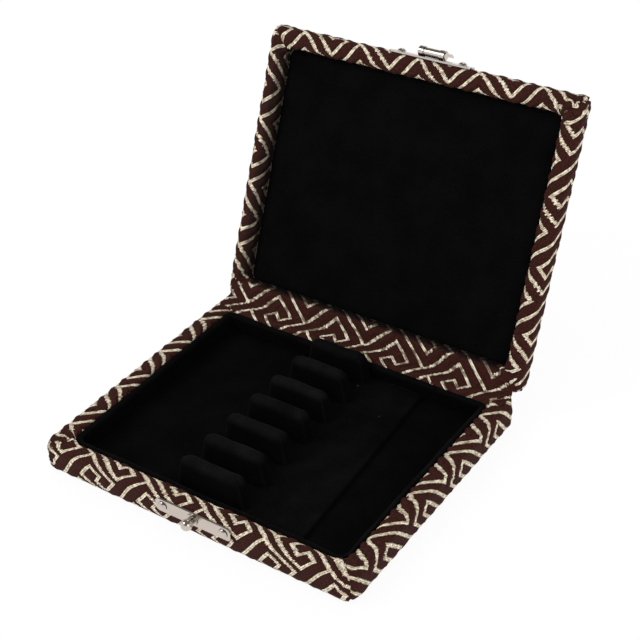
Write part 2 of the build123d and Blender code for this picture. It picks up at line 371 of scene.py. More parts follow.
def ring_mesh(profile, corners, spacing, weaves=None, crumpled_corner=(0, 0), relief=None):
    """Sweeps a profile round the case. Gives points as rows by columns, faces, lattice corners, and the
    cell sizes in each column."""
    places, normals, inner_side, runs = profile
    turns = {end: corner_turns(places, inner_side, radii) for end, radii in corners.items()}
    pressed = (1 - pressed_relief) * np.maximum(-normals[:, 1:], 0)
    puckered = 1 + rim_pucker * inner_side[:, None] - pressed
    columns, woven, cells = [], [], []
    for side, (_, _, start, end) in SIDES.items():
        radii = zip(turns[start], turns[end])
        rows = [side_row(side, place[0], pair, spacing) for place, pair in zip(places, radii)]
        flat, outward, u, to_mitre = (np.stack(parts) for parts in zip(*rows))
        v = np.broadcast_to(runs[:, None], u.shape)
        point = raised(flat, places[:, 1])
        normal = raised(-normals[:, 0, None, None] * outward, normals[:, 1])
        if weaves:
            weave = weaves[side]
            p, q = weave(u, v)
            flat_place = np.stack([u, v], -1)
            folds = [wobble(flat_place, length, 11 + i) for i, length in enumerate(crumple_waves)]
            beside = (flat * crumpled_corner > 0).all(-1)
            crumpled = (1 - smooth(to_mitre / crumple_width)) * np.where(beside, 1.0, usual_crumple)
            p = p + crumple_cells * crumpled * folds[0]
            q = q + crumple_cells * crumpled * folds[1]
            lift = cloth_relief(p, q, weave.cells) * puckered * smooth(to_mitre / mitre_fade)
            lift += pleat(side, to_mitre)
            lift += crumple_rise * crumpled * folds[2]
            point = point + normal * lift[..., None]
            woven.append(quads(np.stack([p, q], -1)))
            cells.append(np.tile(weave.cells, (u.shape[1] - 1, 1)))
        elif relief:
            point = point + normal * relief(point)[..., None]
        columns.append(point[:, :-1])
    grid = np.concatenate(columns, 1)
    index = np.arange(grid[..., 0].size).reshape(grid.shape[:2])
    faces = grid_faces(np.append(index, index[:, :1], 1))
    if weaves:
        woven, cells = np.concatenate(woven, 1).reshape(-1, 2), np.concatenate(cells)
    return grid, faces, woven, cells


def fill_outline(ring, spacing):
    """Triangles inside a closed ring of points in the plane. Gives the extra points and the triangles,
    whose numbers count the ring's points first."""
    bend, edge_gap = 1.5 * MM, 0.6 * spacing
    low, high = ring.min(0), ring.max(0)
    xs = np.arange(low[0] + spacing, high[0], spacing)
    ys = np.arange(low[1] + spacing, high[1], spacing)
    inner = np.array([(x, y) for i, y in enumerate(ys) for x in xs + i % 2 * spacing / 2])
    centre = (low + high) / 2
    half = (high - low) / 2 - edge_gap
    away = np.maximum(np.abs(inner - centre) - (half - bend), 0)
    inner = inner[(np.hypot(away[:, 0], away[:, 1]) < bend) & (np.abs(inner - centre) < half).all(1)]
    count = len(ring)
    points = [Vector(p) for p in np.concatenate([ring, inner]) / MM]
    edges = [(i, (i + 1) % count) for i in range(count)]
    found = geometry.delaunay_2d_cdt(points, edges, [], 1, 1e-6)
    source = [numbers[0] for numbers in found[3]]
    triangles = [[source[i] for i in face] for face in found[2]]
    return inner, triangles


def covered_tray(profile, corners, weaves, crumpled_corner, left_shade=0.0):
    """The brocade cover of one tray, in tray coordinates with the outer face down. Gives its points,
    faces, lattice corners and amounts: the cell sizes and the painted shade where the cloth goes down
    into the opening, with a share of that painted shade on the inner half of the left rim."""
    grid, faces, woven, cells = ring_mesh(profile, corners, cloth_spacing, weaves, crumpled_corner)
    panel_weave = face_weave(weaves)
    rows, count = grid.shape[:2]
    inner, triangles = fill_outline(grid[0, :, :2], panel_spacing)
    p, q, panel_cells = panel_weave(inner[:, 0], inner[:, 1])
    panel = np.column_stack([inner, -pressed_relief * cloth_relief(p, q, panel_cells)])
    points = np.concatenate([grid.reshape(-1, 3), panel])
    p, q, _ = panel_weave(points[:, 0], points[:, 1])
    skip = (rows - 1) * count
    panel_faces = [[i if i < count else i + skip for i in face[::-1]] for face in triangles]
    panel_woven = [(p[i], q[i]) for face in panel_faces for i in face]
    places, _, inner_side, _ = profile
    # Painted shade: darker further down inside the opening, and on the inner half of the left rim
    depth = (places[:, 1].max() - places[:, 1]) * (inner_side > 0.99)
    inner_half = smooth((inner_side - rim_shade_start) / (1 - rim_shade_start))
    left_rim_shade = left_shade * inner_half[:, None] * side_share(grid, -1)
    sunk_shade = np.maximum(smooth((depth - sunk_shade_start) / sunk_shade_length)[:, None], left_rim_shade)
    sunk_shade = np.concatenate([sunk_shade.ravel(), np.zeros(len(panel))])
    cells = np.concatenate([np.tile(cells, (rows, 1)), np.transpose(panel_cells)])
    amounts = {"sunk_shade": sunk_shade, **cell_shares(cells)}
    return points, faces + panel_faces, np.concatenate([woven, panel_woven]), amounts


def into_lid(points):
    """Tray coordinates with the outer face down, turned over into the closed lid and swung open."""
    closed = np.array(points, float)
    closed[:, 2] = closed_height - closed[:, 2]
    return swing_open(closed)


def swing_open(closed):
    """Points of the closed lid at its open rest."""
    turn = np.array(Matrix.Rotation(-open_angle, 3, Vector(hinge["axis"])))
    return (closed - hinge_point) @ turn.T + hinge_point


def on_face(weave, side, x, y):
    """The lattice coordinates that a side's pattern would have at a place on the tray's outer face."""
    a, b = SIDES[side][:2]
    return np.stack(weave(x * a[0] + y * a[1], x * b[0] + y * b[1] - half_sizes(side)[1]), -1)


def matched(weaves):
    """Shifts the sides' lattices by whole repeats, so that neighbours agree as well as they can at the
    corners."""
    pairs = (("front", "right", 1, -1), ("front", "left", -1, -1), ("left", "rear", -1, 1))
    for first, second, turn_x, turn_y in pairs:
        corner = np.array(turn_x * case_width / 2), np.array(turn_y * case_depth / 2)
        apart = on_face(weaves[first], first, *corner) - on_face(weaves[second], second, *corner)
        along = round((apart[0] + apart[1]) / (2 * band_cells))
        across = round((apart[0] - apart[1]) / (2 * band_cells))
        weaves[second].lattice += (band_cells * (along + across), band_cells * (along - across))
    return weaves


def face_weave(weaves):
    """The pattern on a tray's outer face, which carries on each side's pattern and blends them in
    between. Its calls also give the cell sizes."""
    def weave(x, y):
        total, cells, shares = 0, 0, 0
        for side, (_, b, _, _) in SIDES.items():
            edge_gap = half_sizes(side)[1] - x * b[0] - y * b[1]
            share = (edge_gap / MM + blend_reach) ** -blend_power
            total = total + share[..., None] * on_face(weaves[side], side, x, y)
            cells = cells + share * weaves[side].cells[:, None]
            shares = shares + share
        return total[..., 0] / shares, total[..., 1] / shares, cells / shares
    return weave


# The pattern's place on each side, as run along the side and run up it, and its two cell steps
BASE_WEAVES = matched({
    "front": Weave((23.9, 10.75), (3.24, -2.32), (1.61, 2.13)),
    "right": Weave((-7.4, 14.7), (1.76, 3.25), (-2.83, 3.29)),
    "rear": Weave((3.0, 11.0), (-3.0, 2.1), (-2.8, -2.6)),
    "left": Weave((-5.4, -13.1), (-2.09, -2.98), (2.66, -2.98)),
})
LID_WEAVES = matched({
    "front": Weave((4.5, 25.8), (2.75, 2.93), (-2.02, 3.0)),
    "right": Weave((-11.6, 18.8), (-2.42, 3.3), (-2.36, -3.17)),
    "rear": Weave((3.0, 11.0), (-2.9, -2.7), (2.7, -2.6)),
    "left": Weave((11.2, 3.9), (2.75, -3.24), (2.14, 3.18)),
})


def make_base_cover():
    """The base's brocade, pressed flat where it rests."""
    profile = tray_profile(base_height, base_face_radius, base_rim_radius, 3.0 * MM, cloth_spacing)
    points, faces, woven, amounts = covered_tray(profile, base_corners, BASE_WEAVES, (-1, -1))
    points[:, 2] = np.maximum(points[:, 2], 0)
    piece = make_object("base_cover", points, faces, brocade, woven, **amounts)
    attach(piece, "base")
    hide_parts("base_cover_panel", "base_cover_sides")


def make_lid_cover():
    """The lid's brocade, made like the base's and turned over."""
    profile = tray_profile(lid_height, lid_face_radius, lid_rim_radius, 4.0 * MM, cloth_spacing)
    points, faces, woven, amounts = covered_tray(profile, lid_corners, LID_WEAVES, (1, -1), 0.75)
    turned, start = [], 0
    for face in faces:
        turned.append(woven[start:start + len(face)][::-1])
        start += len(face)
    faces = [face[::-1] for face in faces]
    woven = np.concatenate(turned)
    piece = make_object("lid_cover", into_lid(points), faces, brocade, woven, **amounts)
    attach(piece, "lid")
    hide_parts("lid_cover_panel", "lid_cover_sides")


class Nodes:
    """Adds nodes to the tree of a material or a world with short calls that give an output."""

    def __init__(self, owner):
        owner.use_nodes = True
        self.tree = owner.node_tree
        self.tree.nodes.clear()

    def put(self, socket, value):
        if isinstance(value, bpy.types.NodeSocket):
            self.tree.links.new(value, socket)
        else:
            socket.default_value = value

    def node(self, kind, inputs=None, **settings):
        """The node itself, with values or output sockets for its inputs by name or number."""
        made = self.tree.nodes.new("ShaderNode" + kind)
        for key, value in settings.items():
            setattr(made, key, value)
        for key, value in (inputs or {}).items():
            self.put(made.inputs[key], value)
        return made

    def math(self, operation, *values, clamp=False):
        inputs = dict(enumerate(values))
        return self.node("Math", inputs, operation=operation, use_clamp=clamp).outputs[0]

    def plus(self, first, second):
        return self.math("ADD", first, second)

    def less(self, first, second):
        return self.math("SUBTRACT", first, second)

    def times(self, first, second):
        return self.math("MULTIPLY", first, second)

    def mean(self, first, second):
        return self.plus(self.times(first, 0.5), self.times(second, 0.5))

    def spread(self, value, amount):
        """A value from 0 to 1, moved to lie round 0 and multiplied."""
        return self.times(self.less(value, 0.5), amount)

    def ease(self, value, low, high, start=0.0, end=1.0):
        """A soft step from start to end while a value goes from low to high."""
        inputs = {"Value": value, "From Min": low, "From Max": high, "To Min": start, "To Max": end}
        return self.node("MapRange", inputs, interpolation_type="SMOOTHSTEP").outputs["Result"]

    def mix(self, share, first, second):
        inputs = {"Factor": share, 6: first, 7: second}
        return self.node("Mix", inputs, data_type="RGBA").outputs[2]

    def vector(self, *values):
        return self.node("CombineXYZ", dict(enumerate(values))).outputs[0]

    def split(self, vector):
        return tuple(self.node("SeparateXYZ", {0: vector}).outputs)

    def noise(self, place, scale, detail=2.0, roughness=0.5):
        """Noise at a place, or at coordinates that have a scale each."""
        if isinstance(scale, tuple):
            place, scale = self.vector(*map(self.times, place, scale)), 1.0
        inputs = {"Vector": place, "Scale": scale, "Detail": detail, "Roughness": roughness}
        return self.node("TexNoise", inputs).outputs["Fac"]

    def stored(self, name):
        """An amount that the mesh has at each point."""
        return self.node("Attribute", attribute_name=name).outputs["Fac"]

    def place(self):
        return self.node("TexCoord").outputs["Object"]


class Shader(Nodes):
    """The nodes of one material."""

    def __init__(self, name):
        self.material = bpy.data.materials.new(name)
        super().__init__(self.material)
        self.surface = self.node("BsdfPrincipled")
        self.node("OutputMaterial", {"Surface": self.surface.outputs["BSDF"]})

    def set(self, **values):
        for name, value in values.items():
            self.put(self.surface.inputs[name.replace("_", " ")], value)

    def bump(self, height, distance):
        made = self.node("Bump", {"Distance": distance, "Height": height})
        self.set(Normal=made.outputs["Normal"])


def colour(*levels):
    """A linear colour from its red, green and blue display values from 0 to 255."""
    shares = [level / 255 for level in levels]
    return (*(c / 12.92 if c <= 0.0404 else ((c + 0.055) / 1.055) ** 2.4 for c in shares), 1.0)


def fret_nodes(s, p, q, cell_p, cell_q):
    """The same distance to the nearest gold line as fret_distance, as shader nodes."""
    band = s.math("FLOOR", s.math("DIVIDE", s.plus(q, band_cells / 2), band_cells))
    shift = s.times(band, band_cells)
    y = s.less(q, shift)
    x = s.math("ABSOLUTE", s.math("WRAP", s.less(p, shift), band_cells, -band_cells))
    nearest = None
    for along, place, start, end in FRET_LINES:
        across, run, wide, long = (x, y, cell_p, cell_q) if along == "q" else (y, x, cell_q, cell_p)
        side = s.times(s.math("ABSOLUTE", s.less(across, place)), wide)
        reach = s.math("ABSOLUTE", s.less(run, (start + end) / 2))
        gap = s.math("MAXIMUM", side, s.times(s.less(reach, (end - start) / 2), long))
        nearest = gap if nearest is None else s.math("MINIMUM", nearest, gap)
    return nearest


def brocade_material():
    """Maroon ground with fret lines of gold threads that run along q."""
    s = Shader("brocade")
    p, q, _ = s.split(s.node("UVMap", uv_map="weave").outputs["UV"])
    lattice = s.vector(p, q)
    # Amounts from the mesh: the hinge strip's narrower lines with a painted highlight and patches of
    # painted shade, and painted shade where the cloth goes down into the opening
    thin_and_painted_light, sunk_shade = s.stored("thin_and_painted_light"), s.stored("sunk_shade")
    cell_p, cell_q = (s.times(s.stored(name), largest_cell) for name in ("cell_p", "cell_q"))

    # The threads: how far each one frays along q, and how far the lines' edges follow them across p
    threads = s.times(p, threads_per_cell)
    thread = s.math("FLOOR", threads)
    across = s.less(threads, thread)
    fray = s.ease(s.noise(lattice, 0.45, 1.0), 0.35, 0.7, 0.06, 0.22)
    fray = s.times(fray, s.less(1.0, s.times(thin_and_painted_light, 0.5)))
    random = s.node("TexWhiteNoise", {"W": thread}, noise_dimensions="1D").outputs["Value"]
    slow = s.spread(s.noise(s.vector(thread, q), 1.3, 1.0), 0.08)
    q_woven = s.plus(q, s.plus(s.spread(random, fray), slow))
    middle = s.math("DIVIDE", s.plus(thread, 0.5), threads_per_cell)
    follow = 0.4
    p_woven = s.plus(s.times(p, 1 - follow), s.times(middle, follow))

    # The gold lines, narrower on the hinge strip, and painted shade on the ground along their edges
    rough_edge = s.spread(s.noise(lattice, 9.0, 3.0), 0.3 * MM)
    narrower = s.times(thin_and_painted_light, 0.15 * MM)
    gap = s.plus(fret_nodes(s, p_woven, q_woven, cell_p, cell_q), s.plus(rough_edge, narrower))
    gold = s.ease(gap, line_half_width - 0.06 * MM, line_half_width + 0.05 * MM, 1.0, 0.0)
    outline = s.ease(gap, line_half_width - 0.02 * MM, line_half_width + 0.3 * MM)

    # Colours: in the gold a painted sheen on the threads' crowns, strands of random tone, duller random
    # patches and painted shade towards each line's edge, with a painted highlight and patches of
    # painted shade on the hinge strip; streaks in the ground
    rounded_thread = s.math("SINE", s.times(across, math.pi))
    slub = s.noise((p, q), (20.0, 7.0))
    strand = s.noise((thread, q), (3.7, 2.6))
    # Painted sheen on each thread's crown, with random tone from the strands and slubs
    sheen = s.plus(s.mean(rounded_thread, s.ease(strand, 0.3, 0.7)), s.spread(slub, 0.7))
    patches = s.ease(s.noise((p, q), (4.0, 3.0)), 0.4, 0.57, 0.5, 1.0)
    # Gold dimmer towards each line's edge: painted shade, times random patches
    sides = s.times(patches, s.ease(gap, 0.0, line_half_width, 1.0, 0.72))
    bright = s.times(s.ease(sheen, 0.12, 0.76), sides)
    # Painted highlight: brighter gold on the hinge strip
    bright = s.math("ADD", bright, s.times(thin_and_painted_light, 0.3), clamp=True)
    gold_colour = s.mix(bright, colour(112, 85, 50), colour(255, 245, 220))
    # Painted shade in patches on the hinge strip's gold
    painted_shade_patches = s.ease(s.noise((p, q), (2.4, 1.8), 3.0), 0.4, 0.58, 0.85, 0.0)
    patch_shaded_gold = s.mix(s.times(thin_and_painted_light, painted_shade_patches), gold_colour, colour(88, 64, 36))
    streaks = s.noise((p, q), (26.0, 4.5), 3.0, 0.6)
    ground_colour = s.mix(s.ease(streaks, 0.32, 0.72), colour(27, 11, 7), colour(72, 32, 24))
    # Painted shade on the ground beside the gold lines
    edge_shaded_ground = s.mix(outline, colour(13, 6, 4), ground_colour)
    cloth_colour = s.mix(gold, edge_shaded_ground, patch_shaded_gold)
    # Painted shade where the cloth goes down into the opening and on the lid's left rim
    shaded_colour = s.mix(s.times(sunk_shade, 0.9), cloth_colour, colour(9, 7, 6))

    # The threads' relief
    fine_thread = s.math("SINE", s.times(s.math("FRACT", s.times(threads, 2.0)), math.pi))
    ground_height = s.plus(s.times(fine_thread, 0.35), s.times(slub, 0.6))
    gold_height = s.plus(rounded_thread, s.times(slub, 0.4))
    s.bump(s.plus(s.times(gold, gold_height), s.times(s.less(1.0, gold), ground_height)), 0.08 * MM)
    s.set(Base_Color=shaded_colour, Metallic=s.times(gold, 0.15), Specular_IOR_Level=0.12)
    s.set(Roughness=s.ease(gold, 0.0, 1.0, 0.85, 0.4))
    return s.material


def velvet_material():
    """Deep black velvet with a few specks, and a painted sheen where the mesh asks for it."""
    s = Shader("velvet")
    place = s.place()
    pile = s.noise(place, 2600.0, 2.0, 0.6)
    nap = s.noise(place, 120.0, 3.0)
    tone = s.mean(pile, nap)
    black = s.mix(s.ease(tone, 0.35, 0.65), colour(5, 5, 5), colour(9, 9, 9))
    # Painted sheen: a lighter velvet colour, used where the mesh's painted sheen amount is high
    light = s.mix(s.ease(tone, 0.3, 0.7), colour(13, 13, 13), colour(23, 23, 23))
    black_with_sheen = s.mix(s.times(s.stored("brushed"), s.ease(nap, 0.25, 0.6, 0.6, 1.0)), black, light)
    spots = s.node("TexVoronoi", {"Vector": place, "Scale": 160.0})
    picked = s.node("SeparateColor", {0: spots.outputs["Color"]}).outputs[0]
    centre = s.ease(spots.outputs["Distance"], 0.02, 0.035, 1.0, 0.0)
    speck = s.times(centre, s.ease(picked, 0.86, 0.9))
    s.set(Base_Color=s.mix(speck, black_with_sheen, colour(90, 88, 84)), Roughness=1.0)
    s.set(Specular_IOR_Level=0.02, Sheen_Weight=0.02, Sheen_Roughness=0.3)
    s.bump(s.plus(pile, s.times(nap, 0.5)), 0.09 * MM)
    return s.material


def nickel_material():
    """Plated sheet metal with fine scratches, a slightly uneven shine, and painted shade in its
    corners.
    """
    s = Shader("nickel")
    place = s.place()
    cloudy = s.noise(place, 220.0, 3.0)
    scratches = s.noise(s.split(place), (700.0, 9000.0, 9000.0))
    metal = s.mix(cloudy, colour(190, 178, 168), colour(210, 200, 190))
    # Painted shade: darker colour where ambient occlusion finds nearby surfaces, as round the nail
    # heads
    corner = s.node("AmbientOcclusion", {"Distance": 0.9 * MM}, samples=8).outputs["AO"]
    s.set(Base_Color=s.mix(s.ease(corner, 0.25, 0.85), colour(46, 38, 32), metal), Metallic=1.0)
    s.set(Roughness=s.ease(s.mean(cloudy, scratches), 0.3, 0.7, 0.14, 0.26))
    s.bump(scratches, 0.004 * MM)
    return s.material


def board_material():
    """Greyboard with pressed fibres."""
    s = Shader("greyboard")
    place = s.place()
    fibre = s.noise(place, 1500.0, 4.0, 0.65)
    fleck = s.ease(s.noise(place, 600.0), 0.62, 0.7)
    grey = s.mix(fibre, colour(120, 108, 92), colour(158, 146, 128))
    s.set(Base_Color=s.mix(fleck, grey, colour(84, 74, 62)), Roughness=0.9, Specular_IOR_Level=0.2)
    s.bump(fibre, 0.05 * MM)
    return s.material


def wood_material():
    """Pale limewood strips with long grain along the case."""
    s = Shader("limewood")
    grain = s.noise(s.split(s.place()), (60.0, 900.0, 900.0), 4.0, 0.6)
    s.set(Base_Color=s.mix(grain, colour(188, 158, 116), colour(222, 196, 156)), Roughness=0.7)
    s.bump(grain, 0.03 * MM)
    return s.material


brocade = brocade_material()
velvet = velvet_material()
nickel = nickel_material()
greyboard = board_material()
limewood = wood_material()

# Finishes of the frame's own pieces by the first of these words in their names, and the nails' domes
FINISHES = {
    "board": greyboard, "lining": velvet, "wall": limewood, "latch": nickel, "catch": nickel,
    "hasp": nickel, "cover": brocade, "hinge": brocade, "": velvet,
}
nail_dome = 0.3 * MM
for node_name, node in frame["nodes"].items():
    node.data.materials.clear()
    node.data.materials.append(next(FINISHES[word] for word in FINISHES if word in node_name))
    if "nail" in node_name:
        domed = node.modifiers.new("domed", "DISPLACE")
        domed.mid_level = 0.0
        domed.strength = nail_dome

make_base_cover()
make_lid_cover()


def make_wall_lining():
    """The velvet strip round the inside of the base walls. Its full, wavy upper edge carries a painted
    sheen along its crest, most of all on the right."""
    spacing = 0.5 * MM
    top = lining_high.z
    back_depth, foot_level = 3.6 * MM, 2.2 * MM
    back_edge, front_edge = 0.4 * MM, 1.0 * MM
    welt = 1.7 * MM
    crest_place, crest_width, crest_depth = 1.0 * MM, 0.7 * MM, 0.9 * MM
    front_centre = (rim_width + welt - front_edge, top - front_edge)
    foot_end = (rim_width + lining_thickness, foot_level)
    start = single((rim_width, top - back_depth), (-1, 0))
    back = rounded((rim_width + back_edge, top - back_edge), back_edge, 180, 90, 0.15 * MM)
    front = rounded(front_centre, front_edge, 90, -20, 0.2 * MM)
    foot = straight_run(front[0][-1], foot_end, (1, 0), spacing)
    points, normals = joined([start, back, front, foot])
    profile = (points, normals, np.ones(len(points)), points[:, 1])
    wave = lambda place: 0.12 * MM * wobble(place, 14 * MM, 21)
    grid, faces, _, _ = ring_mesh(profile, base_corners, spacing, relief=wave)
    # Painted sheen along the upper edge's crest, stronger on the right side
    crest = bell(points[:, 0] - rim_width - crest_place, crest_width)
    crest *= points[:, 1] > top - crest_depth
    lit = (crest[:, None] * (0.15 + 0.45 * side_share(grid, 1))).ravel()
    piece = make_object("wall_lining_velvet", grid.reshape(-1, 3), faces, velvet, brushed=lit)
    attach(piece, "base")
    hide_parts("base_wall_lining")


def rounded_sheet(half_x, half_y, radius, spacing, height_at):
    """A rounded rectangle of velvet whose height comes from a function of x and y."""
    quarter = radius * math.pi / 2
    arc_spacing = quarter / max(4, round(quarter / spacing))
    ring = []
    for start, side_x, side_y in ((0, 1, 1), (90, -1, 1), (180, -1, -1), (270, 1, -1)):
        centre = (side_x * (half_x - radius), side_y * (half_y - radius))
        ring.append(rounded(centre, radius, start, start + 90, arc_spacing)[0])
    corners = np.concatenate(ring)
    outline = []
    for first, second in zip(corners, np.roll(corners, -1, 0)):
        steps = max(1, round(math.dist(first, second) / spacing))
        outline.append(first + np.linspace(0, 1, steps, endpoint=False)[:, None] * (second - first))
    outline = np.concatenate(outline)
    inner, triangles = fill_outline(outline, spacing)
    flat = np.concatenate([outline, inner])
    return np.column_stack([flat, height_at(flat)]), triangles


def make_floor_velvet():
    """The sheet on the base's floor, which goes a little way under the lining."""
    low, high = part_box("base_floor_velvet")
    height_at = lambda flat: high.z + 0.06 * MM * wobble(flat, 16 * MM, 31)
    reach = 0.5 * MM
    points, faces = rounded_sheet(high.x + reach, high.y + reach, 1.1 * MM, 1.0 * MM, height_at)
    piece = make_object("floor_velvet", points, faces, velvet)
    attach(piece, "base")
    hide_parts("base_floor_velvet")


def make_lid_velvet():
    """The card in the lid: slightly padded, with two faint round press marks."""
    clearance = 0.15 * MM
    padding, padded_edge = 0.35 * MM, 1.6 * MM
    level = lid_height - 3.2 * MM - padding
    half_x = opening_width / 2 - clearance
    half_y = opening_depth / 2 - clearance

    def height_at(flat):
        edge = np.minimum(half_x - np.abs(flat[:, 0]), half_y - np.abs(flat[:, 1]))
        rise = padding * smooth(edge / padded_edge) + 0.05 * MM * wobble(flat, 18 * MM, 41)
        for x, y, radius in ((-8.7, -0.5, 6.8), (10.3, 15.9, 6.6)):
            away = np.hypot(flat[:, 0] - x * MM, flat[:, 1] - y * MM) - radius * MM
            rise -= 0.12 * MM * bell(away, 0.7 * MM)
        return level + rise

    points, faces = rounded_sheet(half_x, half_y, opening_corner_radius, 1.0 * MM, height_at)
    faces = [face[::-1] for face in faces]
    piece = make_object("lid_velvet", into_lid(points), faces, velvet)
    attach(piece, "lid")
    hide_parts("lid_velvet_panel")


def make_reed_bed():
    """The low padded block under the fins, a little askew. Its top carries a painted sheen towards the
    right.
    """
    low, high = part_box("reed_bed")
    spacing, edge = 0.8 * MM, 0.6 * MM
    left = rounded((low.x + edge, high.z - edge), edge, 180, 90, 0.2 * MM)
    right = rounded((high.x - edge, high.z - edge), edge, 90, 0, 0.2 * MM)
    top = straight_run(left[0][-1], right[0][0], (0, 1), spacing)
    section = np.concatenate([[(low.x, low.z)], left[0], top[0], right[0], [(high.x, low.z)]])
    ys = np.arange(low.y, high.y + spacing / 2, spacing)
    ys[-1] = high.y
    points = np.array([(x, y, z) for y in ys for x, z in section])
    points[:, 0] -= bed_skew * points[:, 1] * (points[:, 0] - low.x) / (high.x - low.x)
    sag = 0.07 * MM * wobble(points[:, :2], 13 * MM, 51)
    points[:, 2] += np.where(points[:, 2] > low.z + edge, sag, 0)
    index = np.arange(len(points)).reshape(len(ys), len(section))
    faces = grid_faces(index, True) + [index[0].tolist(), index[-1, ::-1].tolist()]
    # Painted sheen on the top, growing towards the right
    to_right = smooth((points[:, 0] + 5 * MM) / (20 * MM))
    on_top = smooth((points[:, 2] - low.z - 0.5 * MM) / (0.6 * MM))
    lit = to_right * on_top * (0.15 + 0.06 * wobble(points[:, :2], 9 * MM, 52))
    piece = make_object("bed_velvet", points, faces, velvet, brushed=lit)
    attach(piece, "base")
    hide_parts("reed_bed")


def make_fin(number):
    """A padded velvet fin: rounded crest and ends, sides that flare to the foot, and a fold line at
    each end. It carries a painted sheen on its crest and end edges. The rearmost one leans away from
    the rear wall and carries less painted sheen."""
    rearmost = number == fin_count
    low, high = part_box(f"fin_{number}")
    end_flares = 1.7 * MM, 1.2 * MM
    side_flare, fold_depth, uneven = 0.25 * MM, 0.35 * MM, 0.05 * MM
    crest_left, crest_right = low.x + 1.8 * MM, high.x - 1.2 * MM
    middle_y = (low.y + high.y) / 2
    crest_right += fin_stretch - fin_skew * middle_y
    centre = np.array([(crest_left + crest_right) / 2, middle_y, low.z])
    half = np.array([(crest_right - crest_left) / 2, 2.15 * MM, high.z - low.z + fin_puff])

    # Five sides of a box from -1 to 1, and from 0 to 1 upwards
    xs, ys, zs = np.linspace(-1, 1, 73), np.linspace(-1, 1, 19), np.linspace(0, 1, 31)
    unit, faces = [], []
    for side_x, side_y, side_z, flip in (
        (xs, [-1], zs, False), (xs, [1], zs, True), ([-1], ys, zs, True), ([1], ys, zs, False),
        (xs, ys, [1], False),
    ):
        block = [(x, y, z) for z in side_z for y in side_y for x in side_x]
        index = len(unit) + np.arange(len(block))
        wide = len(side_x) if len(side_x) > 1 else len(side_y)
        faces += grid_faces(index.reshape(-1, wide), flip)
        unit += block
    unit = np.array(unit, float)

    # The box rounded off, flared, bent and uneven
    round_off = np.array([2.7, 1.9, 2.3]) * MM
    body = unit * half
    core = np.clip(body, -(half - round_off), half - round_off)
    away = (body - core) / round_off
    length = np.linalg.norm(away, axis=1)
    scale = np.where(length > tiny, np.abs(away).max(1) / np.maximum(length, tiny), 1.0)
    body = core + away * scale[:, None] * round_off
    height = body[:, 2] / half[2]
    flare = (1 - height) ** 1.3
    ends = np.where(body[:, 0] < 0, *end_flares)
    body[:, 0] *= 1 + flare * ends / half[0]
    body[:, 1] *= 1 + flare * side_flare / half[1]
    random = np.random.default_rng(60 + number)
    lean = random.uniform(-0.2, 0.1 if rearmost else 0.2) * MM
    bow = random.uniform(-0.2, 0.0 if rearmost else 0.2) * MM
    body[:, 1] += height * (lean + bow * np.cos(body[:, 0] / half[0] * math.pi / 2))
    body[:, 2] -= height * 0.1 * MM * (1 + wobble(body[:, :2], 12 * MM, 70 + number))
    at_end = smooth((np.abs(unit[:, 0]) - 0.9) / 0.08)
    at_side = smooth((np.abs(unit[:, 1]) - 0.55) / 0.3)
    fold = bell(np.abs(unit[:, 1]) - 0.5, 0.12)
    body[:, 0] -= np.sign(body[:, 0]) * at_end * fold * fold_depth
    body += uneven * np.stack([wobble(body, 5 * MM, 80 + number + k) for k in range(3)], -1)

    # Painted sheen on the crest and on the end edges towards the sides
    crest = smooth((body[:, 2] / half[2] - 0.74) / 0.24) * (0.35 if rearmost else 1)
    lit = np.maximum(crest * (0.8 + 0.2 * wobble(body, 8 * MM, 90 + number)), 0.4 * at_end * at_side)
    piece = make_object(f"fin_velvet_{number}", body + centre, faces, velvet, brushed=0.8 * lit)
    merge = piece.modifiers.new("weld", "WELD")
    merge.merge_threshold = 0.01 * MM
    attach(piece, "base")
    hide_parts(f"fin_{number}")


make_wall_lining()
make_floor_velvet()
make_lid_velvet()
make_reed_bed()
for fin_number in range(1, fin_count + 1):
    make_fin(fin_number)


def along_path(keys):
    """Evenly spaced points on straight runs between the key points of a section, with their run. The
    bends are softened."""
    keys = np.array(keys)
    lengths = np.concatenate([[0], np.cumsum(np.linalg.norm(np.diff(keys, axis=0), axis=1))])
    runs = np.linspace(0, lengths[-1], max(2, round(lengths[-1] / cloth_spacing)) + 1)
    path = np.stack([np.interp(runs, lengths, keys[:, i]) for i in (0, 1)], -1)
    for _ in range(3):
        path[1:-1] = (path[:-2] + 2 * path[1:-1] + path[2:]) / 4
    return path, runs


